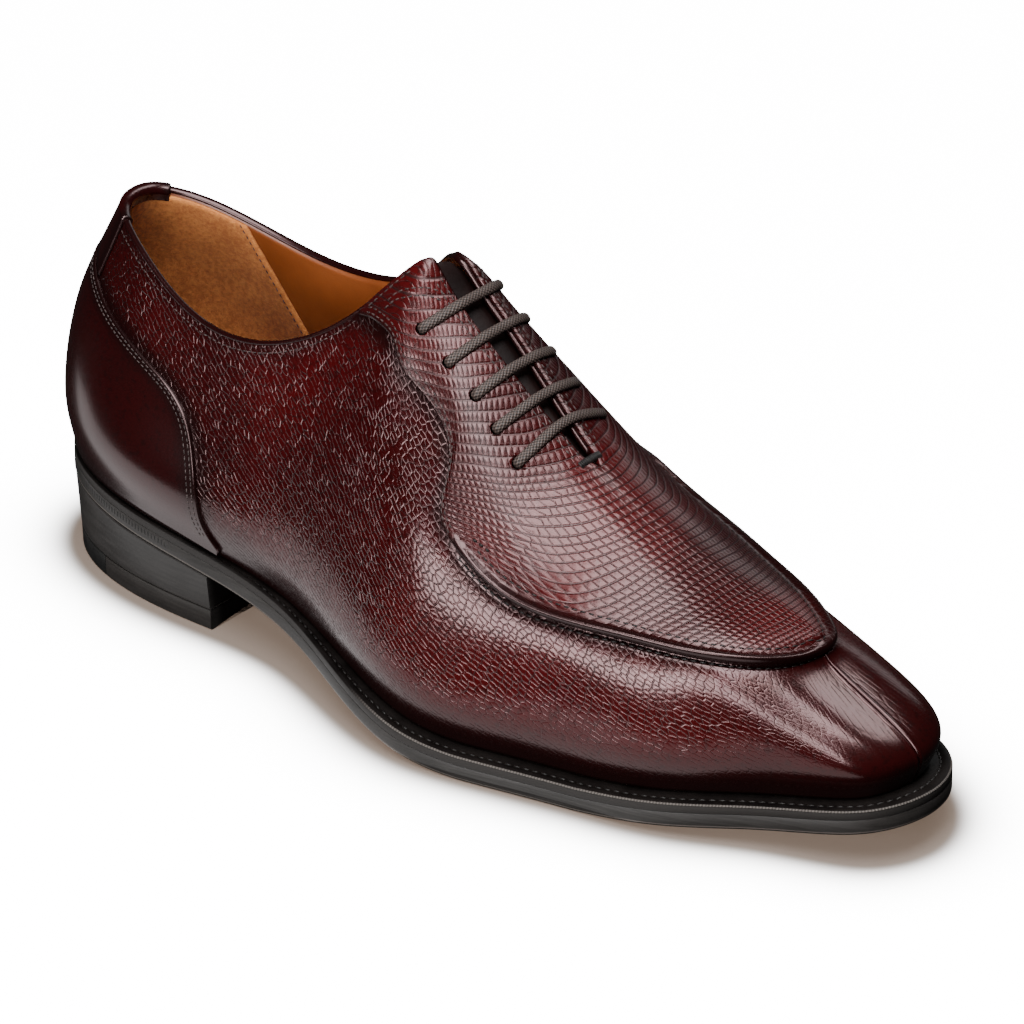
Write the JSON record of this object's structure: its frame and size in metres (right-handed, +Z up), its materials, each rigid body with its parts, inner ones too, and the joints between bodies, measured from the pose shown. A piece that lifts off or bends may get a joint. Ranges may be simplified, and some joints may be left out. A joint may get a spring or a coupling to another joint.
{
  "type": "oxford shoe",
  "caption": "Right-foot leather lace-up oxford with a raised apron front, split-toe seam, heel counter, welted leather sole and stacked heel; hollow, open at the collar.",
  "frame": {"origin": "bottom centre of the bounding box, on the floor the shoe stands on", "axes": "+X from heel to toe, +Y to the inner side of the foot, +Z up"},
  "size_m": [0.2956, 0.1014, 0.1245],
  "materials": {
    "upper": "grained calf, waxed, burgundy",
    "apron": "hatch-grained calf, waxed, burgundy",
    "counter": "smooth burnished calf",
    "back_tab": "smooth calf strip",
    "tongue": "smooth calf",
    "insole": "tan leather sock over the insole",
    "welt": "dark stained leather",
    "outsole": "dark edge, brown leather underside",
    "heel_stack": "stacked leather, dark wax",
    "heel_lift_leather": "leather top piece",
    "heel_lift_rubber": "matt black",
    "lace": "waxed round braid"
  },
  "bodies": {
    "root": {"upper": "upper", "apron": "apron", "counter": "counter", "back_tab": "back_tab", "tongue": "tongue", "insole": "insole", "welt": "welt", "outsole": "outsole", "heel_stack": "heel_stack", "heel_lift_leather": "heel_lift_leather", "heel_lift_rubber": "heel_lift_rubber", "lace_bar_1": "lace", "lace_bar_2": "lace", "lace_bar_3": "lace", "lace_bar_4": "lace", "lace_bar_5": "lace"}
  },
  "joints": []
}
